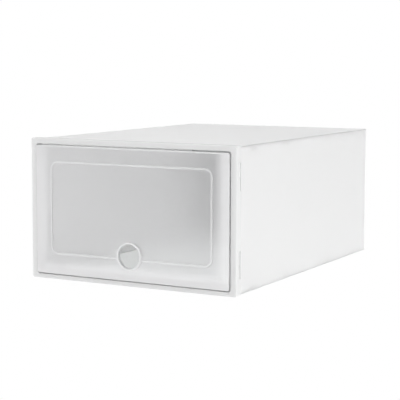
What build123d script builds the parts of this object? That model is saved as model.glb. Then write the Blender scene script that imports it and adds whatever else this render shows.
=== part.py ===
from build123d import *
import os

# Stackable shoe box: a plain rectangular tube of four thin plastic panels, a back panel, and a
# front frame that carries a frosted flip-up door on two pins.
# Millimetres. +X is right, -Y is the door side, +Z is up. The origin is on the floor, under the
# middle of the whole box. Sub-parts are modelled on the right side and mirrored to the left.

# ---- driving dimensions -------------------------------------------------------------------
width = 229.0
depth = 330.0
height = 140.0

# Front frame.
frame_depth = 9.4
frame_corner = 1.6
bezel_side = 6.3
bezel_top = 5.5
bezel_bottom = 4.6
bezel_thickness = 1.6
skirt_side = 2.4
skirt_top = 0.9
inner_wall = 1.6
opening_corner = 2.4
frame_front_fillet = 0.7
frame_rear_fillet = 0.5
opening_fillet = 0.6

# Door. Its face stands a little proud of the frame.
door_proud = 1.6
door_gap_side = 0.7
door_gap_top = 1.2
door_gap_bottom = 1.1
door_thickness = 2.0
door_corner = 2.0
door_edge_fillet = 0.9
rim_depth = 2.6
rim_thickness = 1.4

# Raised bead on the door, and on the back panel.
bead_half_width = 89.4
bead_bottom = 26.5
bead_top = 117.3
bead_corner = 7.0
bead_width = 2.2
bead_height = 0.7
bead_fillet = 0.6

# Finger hole with its raised collar.
hole_height = 29.8
hole_radius = 12.0
collar_width = 1.9
collar_height = 1.0
collar_back = 1.4
collar_fillet = 0.75

# Hinge at the top of the door.
pivot_setback = 2.9
pivot_height = 126.0
pin_radius = 1.2
pin_clearance = 0.06
pin_engagement = 5.0
pin_end_gap = 0.2
bore_spare = 0.5
boss_radius = 2.5
boss_length = 6.0

# Ledges in the frame that the closed door rests against.
stop_gap = 0.4
stop_thickness = 1.6
stop_side = 2.5
stop_sill = 6.0
stop_side_top = 119.0
catch_spread = 55.0
catch_length = 9.0
catch_radius = 0.8
catch_setback = 1.8

# Panels of the tube. Roof and floor meet the sides along mitred edges with a fine seam between
# them. Short tabs under the roof and on the floor stand just inside the side panels.
wall = 1.4
panel_clearance = 0.3
seam = 0.12
panel_start = 3.0
floor_clearance = 0.4
tab_thickness = 1.2
tab_gap = 0.3
tab_height = 5.0
tab_length = 16.0
runner_spread = 92.0
runner_width = 6.0
runner_length = 60.0
runner_back_gap = 12.0

# Snaps: small nibs on the tabs and on the back panel, which enter blind pockets in the side
# panels. The depths are measured from the front of the frame.
nib_length = 10.0
nib_width = 1.6
nib_height = 0.6
pocket_depth = 0.5
pocket_margin = 0.3
side_snap_depths = [40.0, 115.0, 215.0, 290.0]

# Side hooks that lock the tube into the frame, seen in windows in the frame's skirt.
hook_length = 26.0
hook_tops = [124.0, 42.4]
hook_rear = 8.3
hook_front_upper = 4.9
hook_front_lower = 6.2
hook_gap_front = 0.8
hook_gap = 0.25
hook_recess = 0.5

# Back panel.
back_thickness = 1.6
back_recess = 1.0
back_flange = 7.0
back_corner = 1.2
back_snap_heights = [38.0, 102.0]

# Modelling aids: how far joined pieces sink into each other, how far a cutter runs past the
# surface it opens, and how far off an edge may be and still count as lying in a plane.
weld = 0.1
cut_over = 1.0
flat = 0.001

# ---- derived positions --------------------------------------------------------------------
door_front_reach = door_proud + collar_height
front = -(depth + door_front_reach) / 2 + door_front_reach
back = front + depth
frame_rear = front + frame_depth
half_width = width / 2

opening_half = half_width - bezel_side
opening_bottom = bezel_bottom
opening_top = height - bezel_top

panel_outer = half_width - skirt_side - panel_clearance
panel_inner = panel_outer - wall
roof_top = height - skirt_top - panel_clearance
roof_under = roof_top - wall
floor_under = floor_clearance
floor_top = floor_under + wall
tab_outer = panel_inner - tab_gap
tab_inner = tab_outer - tab_thickness

door_half = opening_half - door_gap_side
door_bottom = opening_bottom + door_gap_bottom
door_top = opening_top - door_gap_top
door_front = front - door_proud
door_inside = door_front + door_thickness
rim_rear = door_inside + rim_depth
pivot_y = front + pivot_setback
stop_front = rim_rear + stop_gap

back_half = panel_inner - tab_gap
back_bottom = floor_top + tab_gap
back_top = roof_under - tab_gap
back_outer = back - back_recess


# ---- shape helpers ------------------------------------------------------------------------
def block(x0, x1, y0, y1, z0, z1):
    """A box between two corners."""
    centre = Pos((x0 + x1) / 2, (y0 + y1) / 2, (z0 + z1) / 2)
    return centre * Box(x1 - x0, y1 - y0, z1 - z0)


def prism(half, bottom, top, corner, y0, y1):
    """A rounded rectangle in the XZ plane, carried from y0 back to y1."""
    plane = Plane(origin=(0, y0, (bottom + top) / 2), x_dir=(1, 0, 0), z_dir=(0, 1, 0))
    outline = RectangleRounded(2 * half, top - bottom, corner)
    return extrude(plane * outline, amount=y1 - y0)


def rod_along_x(radius, x0, x1, y, z):
    """A round bar parallel to X."""
    return Pos((x0 + x1) / 2, y, z) * Rot(0, 90, 0) * Cylinder(radius, x1 - x0)


def disc_along_y(radius, y0, y1, x, z):
    """A round bar parallel to Y."""
    return Pos(x, (y0 + y1) / 2, z) * Rot(90, 0, 0) * Cylinder(radius, y1 - y0)


def edges_at_depth(shape, y):
    """The edges that lie wholly in the plane at depth y."""
    return shape.edges().filter_by(
        lambda edge: abs(edge.bounding_box().min.Y - y) < flat
        and abs(edge.bounding_box().max.Y - y) < flat
    )


def in_both_halves(right_piece):
    """The right-hand piece together with its mirror image."""
    return [right_piece, mirror(right_piece, about=Plane.YZ)]


def bead_ring(y_face, y_crown, fillet_at):
    """A raised bead that follows a rounded rectangle, from its base face out to its crown."""
    low, high = min(y_face, y_crown), max(y_face, y_crown)
    half_bead = bead_width / 2
    outer = prism(bead_half_width + half_bead, bead_bottom - half_bead, bead_top + half_bead,
                  bead_corner + half_bead, low, high)
    inner = prism(bead_half_width - half_bead, bead_bottom + half_bead, bead_top - half_bead,
                  bead_corner - half_bead, low, high)
    ring = outer - inner
    return fillet(edges_at_depth(ring, fillet_at), bead_fillet)


# ---- front frame --------------------------------------------------------------------------
def frame_shell():
    """The bezel with its skirt and inner wall. The channel is open at the back and underneath."""
    shell = prism(half_width, 0, height, frame_corner, front, frame_rear)
    shell = fillet(edges_at_depth(shell, front), frame_front_fillet)
    shell = fillet(edges_at_depth(shell, frame_rear), frame_rear_fillet)
    shell -= prism(opening_half, opening_bottom, opening_top, opening_corner, front, frame_rear)
    opening_rim = edges_at_depth(shell, front).filter_by(
        lambda edge: abs(edge.center().X) < opening_half + weld
        and opening_bottom - weld < edge.center().Z < opening_top + weld
    )
    shell = fillet(opening_rim, opening_fillet)
    channel_front = front + bezel_thickness
    channel = prism(half_width - skirt_side, -frame_corner, height - skirt_top,
                    frame_corner / 2, channel_front, frame_rear)
    channel -= prism(opening_half + inner_wall, opening_bottom - inner_wall,
                     opening_top + inner_wall, opening_corner + inner_wall,
                     channel_front, frame_rear)
    return shell - channel


def door_stops():
    """A sill lip and two side ledges behind the closed door."""
    stop_rear = stop_front + stop_thickness
    overlap = inner_wall / 2
    sill_top = opening_bottom + stop_sill
    sill = block(-opening_half - overlap, opening_half + overlap, stop_front, stop_rear,
                 opening_bottom - overlap, sill_top)
    ledge = block(opening_half - stop_side, opening_half + overlap, stop_front, stop_rear,
                  opening_bottom, stop_side_top)
    stops = sill
    for piece in in_both_halves(ledge):
        stops += piece
    return stops


def door_catches():
    """Two low rounded bumps on the sill, just under the door's lower edge."""
    catches = []
    for side in (-1, 1):
        centre = side * catch_spread
        catches.append(
            rod_along_x(catch_radius, centre - catch_length / 2, centre + catch_length / 2,
                        front + catch_setback, opening_bottom)
        )
    return catches


def hook_outline(inset_front, inset):
    """Stepped hook shape for one side, as two stacked boxes per hook: (y0, y1, z0, z1)."""
    boxes = []
    for top in hook_tops:
        middle = top - hook_length / 2
        bottom = top - hook_length
        upper = (front + hook_front_upper + inset_front, front + hook_rear - inset,
                 middle, top - inset)
        lower = (front + hook_front_lower + inset_front, front + hook_rear - inset,
                 bottom + inset, middle)
        boxes += [upper, lower]
    return boxes


def front_frame():
    frame = frame_shell() + door_stops()
    for bump in door_catches():
        frame += bump
    skirt_inner = half_width - skirt_side
    for y0, y1, z0, z1 in hook_outline(0, 0):
        window = block(skirt_inner - cut_over, half_width + cut_over, y0, y1, z0, z1)
        for piece in in_both_halves(window):
            frame -= piece
    bore = rod_along_x(pin_radius, opening_half - cut_over, opening_half + inner_wall + cut_over,
                       pivot_y, pivot_height)
    for piece in in_both_halves(bore):
        frame -= piece
    return frame


# ---- door and its pins --------------------------------------------------------------------
def flip_door():
    door = prism(door_half, door_bottom, door_top, door_corner, door_front, rim_rear)
    door = fillet(edges_at_depth(door, door_front), door_edge_fillet)
    door -= prism(door_half - rim_thickness, door_bottom + rim_thickness,
                  door_top - rim_thickness, door_corner - rim_thickness,
                  door_inside, rim_rear)
    boss = rod_along_x(boss_radius, door_half - boss_length, door_half, pivot_y, pivot_height)
    boss += block(door_half - boss_length, door_half - rim_thickness / 2, door_inside - weld,
                  pivot_y, pivot_height - boss_radius, pivot_height + boss_radius)
    for piece in in_both_halves(boss):
        door += piece
    door += bead_ring(door_front, door_front - bead_height, door_front - bead_height)
    collar_radius = hole_radius + collar_width
    collar_front = door_front - collar_height
    collar = disc_along_y(collar_radius, collar_front, door_inside + collar_back, 0, hole_height)
    collar = fillet(edges_at_depth(collar, collar_front), collar_fillet)
    door += collar
    hole = disc_along_y(hole_radius, collar_front - cut_over, rim_rear + cut_over, 0, hole_height)
    door -= hole
    door = fillet(edges_at_depth(door, collar_front), collar_fillet)
    bore_end = door_half - pin_engagement - bore_spare
    bore = rod_along_x(pin_radius + pin_clearance, bore_end, door_half + cut_over,
                       pivot_y, pivot_height)
    for piece in in_both_halves(bore):
        door -= piece
    return door


def hinge_pins():
    """One plain pin for each side, as two separate solids. The side panels keep them in."""
    pin = rod_along_x(pin_radius, door_half - pin_engagement, panel_inner - pin_end_gap,
                      pivot_y, pivot_height)
    return Compound(in_both_halves(pin))


# ---- tube panels --------------------------------------------------------------------------
def sheet(corners, y0, y1):
    """A flat sheet along Y whose outline in the XZ plane is given by its corners."""
    plane = Plane(origin=(0, y0, 0), x_dir=(1, 0, 0), z_dir=(0, -1, 0))
    outline = make_face(Polyline(*corners, close=True))
    return extrude(plane * outline, amount=y0 - y1)


def snap_tabs(z0, z1):
    """Short tabs along the right edge of a roof or floor sheet, each with a nib on its outer face."""
    tabs = []
    z_middle = (z0 + z1) / 2
    for distance in side_snap_depths:
        centre = front + distance
        tab = block(tab_inner, tab_outer, centre - tab_length / 2, centre + tab_length / 2, z0, z1)
        tab += block(tab_outer - weld, tab_outer + nib_height, centre - nib_length / 2,
                     centre + nib_length / 2, z_middle - nib_width / 2, z_middle + nib_width / 2)
        tabs.append(tab)
    return tabs


def mitred_panel(z_outer, z_inner, tab_z0, tab_z1):
    """A roof or floor sheet with mitred long edges and a row of tabs inside the side panels."""
    corners = [(-panel_outer, z_outer), (panel_outer, z_outer),
               (panel_inner, z_inner), (-panel_inner, z_inner)]
    panel = sheet(corners, front + panel_start, back)
    for tab in snap_tabs(tab_z0, tab_z1):
        for piece in in_both_halves(tab):
            panel += piece
    return panel


def top_panel():
    return mitred_panel(roof_top, roof_under, roof_under - tab_height, roof_under)


def bottom_panel():
    panel = mitred_panel(floor_under, floor_top, floor_top, floor_top + tab_height)
    runner_back = back - runner_back_gap
    runner = block(runner_spread, runner_spread + runner_width, runner_back - runner_length,
                   runner_back, 0, floor_under)
    for piece in in_both_halves(runner):
        panel += piece
    return panel


def side_pockets():
    """Blind pockets in the inner face of the right-hand side panel."""
    pockets = []
    floor_tab = floor_top + tab_height / 2
    roof_tab = roof_under - tab_height / 2
    half_length = nib_length / 2 + pocket_margin
    half_height = nib_width / 2 + pocket_margin
    for distance in side_snap_depths:
        for z in (floor_tab, roof_tab):
            pockets.append(
                block(panel_inner - cut_over, panel_inner + pocket_depth,
                      front + distance - half_length, front + distance + half_length,
                      z - half_height, z + half_height)
            )
    snap_y = back - back_flange / 2
    for z in back_snap_heights:
        pockets.append(
            block(panel_inner - cut_over, panel_inner + pocket_depth, snap_y - half_height,
                  snap_y + half_height, z - half_length, z + half_length)
        )
    return pockets


def right_panel():
    corners = [(panel_outer, floor_under + seam), (panel_outer, roof_top - seam),
               (panel_inner, roof_under - seam), (panel_inner, floor_top + seam)]
    panel = sheet(corners, front + panel_start, back)
    hook_face = half_width - hook_recess
    for y0, y1, z0, z1 in hook_outline(hook_gap_front, hook_gap):
        panel += block(panel_outer - weld, hook_face, y0, y1, z0, z1)
    for pocket in side_pockets():
        panel -= pocket
    return panel


def back_panel():
    flange_front = back - back_flange
    panel = prism(back_half, back_bottom, back_top, back_corner, flange_front, back)
    panel -= prism(back_half - tab_thickness, back_bottom + tab_thickness,
                   back_top - tab_thickness, back_corner / 2,
                   flange_front, back_outer - back_thickness)
    panel -= prism(back_half - tab_thickness, back_bottom + tab_thickness,
                   back_top - tab_thickness, back_corner / 2, back_outer, back)
    panel += bead_ring(back_outer, back_outer + bead_height, back_outer + bead_height)
    snap_y = back - back_flange / 2
    for z in back_snap_heights:
        nib = block(back_half - weld, back_half + nib_height, snap_y - nib_width / 2,
                    snap_y + nib_width / 2, z - nib_length / 2, z + nib_length / 2)
        for piece in in_both_halves(nib):
            panel += piece
    return panel


# ---- export -------------------------------------------------------------------------------
right_side = right_panel()
nodes = {
    "front_frame": front_frame(),
    "flip_door": flip_door(),
    "hinge_pins": hinge_pins(),
    "top_panel": top_panel(),
    "bottom_panel": bottom_panel(),
    "right_panel": right_side,
    "left_panel": mirror(right_side, about=Plane.YZ),
    "back_panel": back_panel(),
}

os.makedirs("parts", exist_ok=True)
for name, shape in nodes.items():
    export_step(shape, "parts/" + name + ".step")
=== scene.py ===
import math

import bpy
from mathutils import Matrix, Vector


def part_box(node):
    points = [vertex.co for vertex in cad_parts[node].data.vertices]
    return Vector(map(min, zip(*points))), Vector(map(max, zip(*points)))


# Looks for a stackable plastic shoe box with a frosted flip-up door. Metres, +Z up.

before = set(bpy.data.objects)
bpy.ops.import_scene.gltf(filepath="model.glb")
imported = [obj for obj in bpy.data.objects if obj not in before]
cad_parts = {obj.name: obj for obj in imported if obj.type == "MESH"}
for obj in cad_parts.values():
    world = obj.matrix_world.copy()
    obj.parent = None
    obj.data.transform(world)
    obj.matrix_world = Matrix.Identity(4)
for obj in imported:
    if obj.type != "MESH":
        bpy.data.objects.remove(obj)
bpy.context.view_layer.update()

# ---- camera and light -----------------------------------------------------------------------
CAMERA_RIGHT = 0.6280
CAMERA_AHEAD = 1.0155
CAMERA_HEIGHT = 0.2212
CAMERA_YAW = 28.523
CAMERA_PITCH = 6.552
CAMERA_ROLL = -0.127
CAMERA_LENS = 113.19
SENSOR_WIDTH = 36.0

WHITE = (1.0, 1.0, 1.0, 1.0)
FLOOR_SIZE = 60.0
FLOOR_COLOUR = (0.9, 0.9, 0.9)
FLOOR_LIGHT = 0.45
SURROUND_LIGHT = 0.6
LIGHT_AIM = (0.0, 0.0, 0.07)
OVERHEAD_PLACE = (0.2, 0.0, 2.4)
OVERHEAD_SIZE = 2.0
OVERHEAD_POWER = 24.0
SIDE_PLACE = (2.4, -0.2, 0.9)
LEFT_PLACE = (-2.0, -0.2, 0.7)
SIDE_SIZE = 1.6
SIDE_POWER = 7.0
LEFT_POWER = 9.0

# ---- moulded plastic ------------------------------------------------------------------------
WALL_COLOUR = (0.955, 0.963, 0.96)
# painted shade: the back panel is the same plastic as the walls, given a greyer colour to stand in for
# the shade inside the box
BACK_SHADE_COLOUR = (0.8, 0.802, 0.81)
FRAME_COLOUR = (0.765, 0.767, 0.767)
PIN_COLOUR = (0.86, 0.865, 0.87)
SHADE = 0.985
LIGHT_REACH = 0.006
GRAIN = 0.00018
GRAIN_STRENGTH = 0.06
WAVE = 0.002
WAVE_STRENGTH = 0.05
GLOSS_SPREAD = 0.04
PLASTIC_IOR = 1.49

# ---- places on the door, and its frosting ----------------------------------------------------
HOLE_HEIGHT = 0.0298
COLLAR_RADIUS = 0.0139
COLLAR_BLEND = 0.0006
COLLAR_HEIGHT = 0.001
BEAD_FOOT = 0.00005
BEAD_CROWN = 0.0004
PLATE_THICKNESS = 0.002
RIM_FOOT = 0.0001
RIM_SOLID = 0.0004
# painted light: strength of the milky bands along the door's sides, which stand in for light on the
# box's inside near the door
SIDE_PAINTED_LIGHT = 0.9
BEAD_MILK = 0.5
# painted light: where the milky side and bottom bands of the door are solid and where they fade out
PAINTED_LIGHT_SOLID = 0.003
PAINTED_LIGHT_BAND = 0.018
EDGE_SOLID = 0.0006
EDGE_BAND = 0.0022
DOOR_COLOUR = (0.95, 0.948, 0.955)
PLATE_CLEAR = 0.8
THICK_CLEAR = 0.25
FROST_ROUGHNESS = 0.35
FROST_SPREAD = 0.03
FROST_GRAIN = 0.0003
FROST_STRENGTH = 0.05
INNER_ROUGHNESS = 0.03


def new_material(name):
    """A material with an empty node tree: returns (material, nodes, links)."""
    material = bpy.data.materials.new(name)
    material.use_nodes = True
    material.node_tree.nodes.clear()
    return material, material.node_tree.nodes, material.node_tree.links


def add_camera():
    """The camera, at the right front of the box and a little above it."""
    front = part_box("front_frame")[0].y
    data = bpy.data.cameras.new("camera")
    data.sensor_width = SENSOR_WIDTH
    data.lens = CAMERA_LENS
    data.clip_end = 100.0
    camera = bpy.data.objects.new("camera", data)
    camera.location = (CAMERA_RIGHT, front - CAMERA_AHEAD, CAMERA_HEIGHT)
    turns = (90.0 - CAMERA_PITCH, CAMERA_ROLL, CAMERA_YAW)
    camera.rotation_euler = [math.radians(turn) for turn in turns]
    bpy.context.scene.collection.objects.link(camera)
    bpy.context.scene.camera = camera


def add_area_light(name, location, size, power):
    """A square soft box that points from location to the middle of the shoe box."""
    data = bpy.data.lights.new(name, "AREA")
    data.shape = "SQUARE"
    data.size = size
    data.energy = power
    light = bpy.data.objects.new(name, data)
    light.location = location
    direction = [aim - place for aim, place in zip(LIGHT_AIM, location)]
    yaw = math.atan2(direction[1], direction[0]) - math.pi / 2
    flat = math.hypot(direction[0], direction[1])
    pitch = math.atan2(direction[2], flat) + math.pi / 2
    light.rotation_euler = (pitch, 0.0, yaw)
    bpy.context.scene.collection.objects.link(light)


def add_world():
    """A white surround that lights the box evenly."""
    world = bpy.data.worlds.new("surround")
    world.use_nodes = True
    nodes = world.node_tree.nodes
    links = world.node_tree.links
    nodes.clear()
    seen = nodes.new("ShaderNodeBackground")
    seen.inputs["Color"].default_value = WHITE
    lighting = nodes.new("ShaderNodeBackground")
    lighting.inputs["Color"].default_value = WHITE
    lighting.inputs["Strength"].default_value = SURROUND_LIGHT
    path = nodes.new("ShaderNodeLightPath")
    mix = nodes.new("ShaderNodeMixShader")
    output = nodes.new("ShaderNodeOutputWorld")
    links.new(path.outputs["Is Camera Ray"], mix.inputs["Fac"])
    links.new(lighting.outputs["Background"], mix.inputs[1])
    links.new(seen.outputs["Background"], mix.inputs[2])
    links.new(mix.outputs["Shader"], output.inputs["Surface"])
    bpy.context.scene.world = world


def add_floor():
    """A plain pale floor, evenly lit to white like the surround."""
    half = FLOOR_SIZE / 2
    mesh = bpy.data.meshes.new("floor")
    corners = [(-half, -half, 0.0), (half, -half, 0.0), (half, half, 0.0), (-half, half, 0.0)]
    mesh.from_pydata(corners, [], [(0, 1, 2, 3)])
    floor = bpy.data.objects.new("floor", mesh)
    bpy.context.scene.collection.objects.link(floor)
    material, nodes, links = new_material("floor_paint")
    paint_coat = nodes.new("ShaderNodeBsdfPrincipled")
    paint_coat.inputs["Base Color"].default_value = (*FLOOR_COLOUR, 1.0)
    paint_coat.inputs["Roughness"].default_value = 0.9
    paint_coat.inputs["Emission Color"].default_value = WHITE
    paint_coat.inputs["Emission Strength"].default_value = FLOOR_LIGHT
    seen = nodes.new("ShaderNodeEmission")
    seen.inputs["Color"].default_value = WHITE
    path = nodes.new("ShaderNodeLightPath")
    mix = nodes.new("ShaderNodeMixShader")
    output = nodes.new("ShaderNodeOutputMaterial")
    links.new(path.outputs["Is Camera Ray"], mix.inputs["Fac"])
    links.new(paint_coat.outputs["BSDF"], mix.inputs[1])
    links.new(seen.outputs["Emission"], mix.inputs[2])
    links.new(mix.outputs["Shader"], output.inputs["Surface"])
    mesh.materials.append(material)


# ---- materials ------------------------------------------------------------------------------
def noise(nodes, links, place, scale, detail):
    """The value of a noise texture fixed to the object."""
    texture = nodes.new("ShaderNodeTexNoise")
    texture.inputs["Scale"].default_value = scale
    texture.inputs["Detail"].default_value = detail
    links.new(place.outputs["Object"], texture.inputs["Vector"])
    return texture.outputs["Fac"]


def mottled(nodes, links, value, colour):
    """The colour with a faint mottling that follows value."""
    tint = nodes.new("ShaderNodeValToRGB")
    tint.color_ramp.elements[0].position = 0.3
    tint.color_ramp.elements[1].position = 0.7
    tint.color_ramp.elements[0].color = (*[c * SHADE for c in colour], 1.0)
    tint.color_ramp.elements[1].color = (*colour, 1.0)
    links.new(value, tint.inputs["Fac"])
    return tint.outputs["Color"]


def varied(nodes, links, value, middle, spread):
    """A number that follows value, within spread of the middle."""
    span = nodes.new("ShaderNodeMapRange")
    span.inputs["To Min"].default_value = middle - spread
    span.inputs["To Max"].default_value = middle + spread
    links.new(value, span.inputs["Value"])
    return span.outputs["Result"]


def bumps(nodes, links, value, strength, distance):
    """A bump node whose height follows value."""
    bump = nodes.new("ShaderNodeBump")
    bump.inputs["Strength"].default_value = strength
    bump.inputs["Distance"].default_value = distance
    links.new(value, bump.inputs["Height"])
    return bump


def moulded_plastic(name, colour, roughness, subsurface):
    """White moulded plastic: faint mottling, a satin grain and a slight long wave in the skin."""
    material, nodes, links = new_material(name)
    place = nodes.new("ShaderNodeTexCoord")
    surface = nodes.new("ShaderNodeBsdfPrincipled")
    output = nodes.new("ShaderNodeOutputMaterial")
    links.new(surface.outputs["BSDF"], output.inputs["Surface"])

    mottle = noise(nodes, links, place, 22.0, 5.0)
    links.new(mottled(nodes, links, mottle, colour), surface.inputs["Base Color"])
    skin = noise(nodes, links, place, 60.0, 3.0)
    gloss = varied(nodes, links, skin, roughness, GLOSS_SPREAD)
    links.new(gloss, surface.inputs["Roughness"])

    fine = nodes.new("ShaderNodeTexVoronoi")
    fine.inputs["Scale"].default_value = 1.0 / GRAIN / 6.0
    links.new(place.outputs["Object"], fine.inputs["Vector"])
    grain = bumps(nodes, links, fine.outputs["Distance"], GRAIN_STRENGTH, GRAIN)
    wave = bumps(nodes, links, noise(nodes, links, place, 9.0, 1.0), WAVE_STRENGTH, WAVE)
    links.new(grain.outputs["Normal"], wave.inputs["Normal"])
    links.new(wave.outputs["Normal"], surface.inputs["Normal"])

    surface.inputs["IOR"].default_value = PLASTIC_IOR
    surface.inputs["Subsurface Weight"].default_value = subsurface
    surface.inputs["Subsurface Radius"].default_value = (1.0, 1.0, 1.0)
    surface.inputs["Subsurface Scale"].default_value = LIGHT_REACH
    return material


def smooth_step(nodes, links, value, start, end):
    """0 up to start and 1 from end on, with a smooth change between them. Start may be above end."""
    step = nodes.new("ShaderNodeMapRange")
    step.interpolation_type = "SMOOTHSTEP"
    rising = start < end
    step.inputs["From Min"].default_value = min(start, end)
    step.inputs["From Max"].default_value = max(start, end)
    step.inputs["To Min"].default_value = 0.0 if rising else 1.0
    step.inputs["To Max"].default_value = 1.0 if rising else 0.0
    links.new(value, step.inputs["Value"])
    return step.outputs["Result"]


def maths(nodes, links, operation, first, second=None):
    """One Math node. Each operand is a socket or a plain number."""
    node = nodes.new("ShaderNodeMath")
    node.operation = operation
    for socket, operand in zip(node.inputs, (first, second)):
        if isinstance(operand, (int, float)):
            socket.default_value = operand
        elif operand is not None:
            links.new(operand, socket)
    return node.outputs["Value"]


def largest(nodes, links, values):
    """The largest of several values."""
    result = values[0]
    for value in values[1:]:
        result = maths(nodes, links, "MAXIMUM", result, value)
    return result


def door_thickness_and_painted_light(nodes, links, x, y, z):
    """1 on the bead, on the hole's collar and along the door's top edge, where the plastic is thick,
    and near 1 in bands of painted light along the sides and the bottom; 0 on the rest of the thin
    plate.
    """
    low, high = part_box("flip_door")
    edge_distance = maths(nodes, links, "ABSOLUTE", x)
    # Painted light: the wide milky bands along the sides and the bottom stand in for light on the
    # box's inside near the door; only at the very edge is the plastic thicker.
    painted_light_sides = smooth_step(nodes, links, edge_distance, high.x - PAINTED_LIGHT_BAND, high.x - PAINTED_LIGHT_SOLID)
    painted_light_sides = maths(nodes, links, "MULTIPLY", painted_light_sides, SIDE_PAINTED_LIGHT)
    top = smooth_step(nodes, links, z, high.z - EDGE_BAND, high.z - EDGE_SOLID)
    painted_light_bottom = smooth_step(nodes, links, z, low.z + PAINTED_LIGHT_BAND, low.z + PAINTED_LIGHT_SOLID)
    plate_face = low.y + COLLAR_HEIGHT
    bead = smooth_step(nodes, links, y, plate_face - BEAD_FOOT, plate_face - BEAD_CROWN)
    bead = maths(nodes, links, "MULTIPLY", bead, BEAD_MILK)
    across = nodes.new("ShaderNodeCombineXYZ")
    links.new(x, across.inputs["X"])
    links.new(z, across.inputs["Z"])
    radius = nodes.new("ShaderNodeVectorMath")
    radius.operation = "DISTANCE"
    radius.inputs[1].default_value = (0.0, 0.0, HOLE_HEIGHT)
    links.new(across.outputs["Vector"], radius.inputs[0])
    collar = smooth_step(nodes, links, radius.outputs["Value"], COLLAR_RADIUS + COLLAR_BLEND,
                         COLLAR_RADIUS)
    return largest(nodes, links, [painted_light_sides, top, painted_light_bottom, bead, collar])


def frosted_plastic(name):
    """Door plastic: a frosted, milky skin outside and a clear one inside, whiter where it is thick and
    in side and bottom bands of painted light.
    """
    material, nodes, links = new_material(name)
    place = nodes.new("ShaderNodeTexCoord")
    surface = nodes.new("ShaderNodeBsdfPrincipled")
    output = nodes.new("ShaderNodeOutputMaterial")
    links.new(surface.outputs["BSDF"], output.inputs["Surface"])
    axes = nodes.new("ShaderNodeSeparateXYZ")
    links.new(place.outputs["Object"], axes.inputs["Vector"])
    x, y, z = (axes.outputs[axis] for axis in "XYZ")

    haze = noise(nodes, links, place, 14.0, 4.0)
    links.new(mottled(nodes, links, haze, DOOR_COLOUR), surface.inputs["Base Color"])

    plate_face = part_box("flip_door")[0].y + COLLAR_HEIGHT
    plate_back = plate_face + PLATE_THICKNESS
    rim = smooth_step(nodes, links, y, plate_back + RIM_FOOT, plate_back + RIM_SOLID)
    # thick places of the door together with its painted light bands along the sides and bottom
    thick_and_painted_light = largest(nodes, links, [door_thickness_and_painted_light(nodes, links, x, y, z), rim])
    behind = smooth_step(nodes, links, y, plate_face + 0.4 * PLATE_THICKNESS,
                         plate_face + 0.8 * PLATE_THICKNESS)
    before_rim = maths(nodes, links, "SUBTRACT", 1.0, rim)
    inner = maths(nodes, links, "MULTIPLY", behind, before_rim)
    thin_and_unpainted = maths(nodes, links, "SUBTRACT", 1.0, thick_and_painted_light)
    outer_clear = maths(nodes, links, "MULTIPLY", thin_and_unpainted, PLATE_CLEAR - THICK_CLEAR)
    outer_clear = maths(nodes, links, "ADD", outer_clear, THICK_CLEAR)
    clear = maths(nodes, links, "MAXIMUM", outer_clear, inner)
    links.new(clear, surface.inputs["Transmission Weight"])

    frost = noise(nodes, links, place, 180.0, 4.0)
    blur = varied(nodes, links, frost, FROST_ROUGHNESS, FROST_SPREAD)
    polish = maths(nodes, links, "MULTIPLY", inner, FROST_ROUGHNESS - INNER_ROUGHNESS)
    roughness = maths(nodes, links, "SUBTRACT", blur, polish)
    links.new(roughness, surface.inputs["Roughness"])
    bump = bumps(nodes, links, frost, FROST_STRENGTH, FROST_GRAIN)
    links.new(bump.outputs["Normal"], surface.inputs["Normal"])

    surface.inputs["IOR"].default_value = PLASTIC_IOR
    return material


def paint(node, material):
    """Gives a CAD node one material."""
    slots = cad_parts[node].data.materials
    slots.clear()
    slots.append(material)


wall_white = moulded_plastic("wall_white", WALL_COLOUR, 0.5, 1.0)
# painted shade: the back panel gets a greyer, less translucent copy of the wall plastic so the inside
# of the box looks shaded
back_painted_shade = moulded_plastic("back_painted_shade", BACK_SHADE_COLOUR, 0.5, 0.5)
frame_white = moulded_plastic("frame_white", FRAME_COLOUR, 0.42, 0.3)
pin_white = moulded_plastic("pin_white", PIN_COLOUR, 0.35, 0.3)
door_frost = frosted_plastic("door_frost")

for panel in ("top_panel", "bottom_panel", "right_panel", "left_panel"):
    paint(panel, wall_white)
paint("back_panel", back_painted_shade)
paint("front_frame", frame_white)
paint("hinge_pins", pin_white)
paint("flip_door", door_frost)

add_camera()
add_world()
add_floor()
add_area_light("overhead", OVERHEAD_PLACE, OVERHEAD_SIZE, OVERHEAD_POWER)
add_area_light("side", SIDE_PLACE, SIDE_SIZE, SIDE_POWER)
add_area_light("left", LEFT_PLACE, SIDE_SIZE, LEFT_POWER)
scene = bpy.context.scene
scene.view_settings.view_transform = "Standard"
scene.cycles.diffuse_bounces = 12
scene.cycles.max_bounces = 24
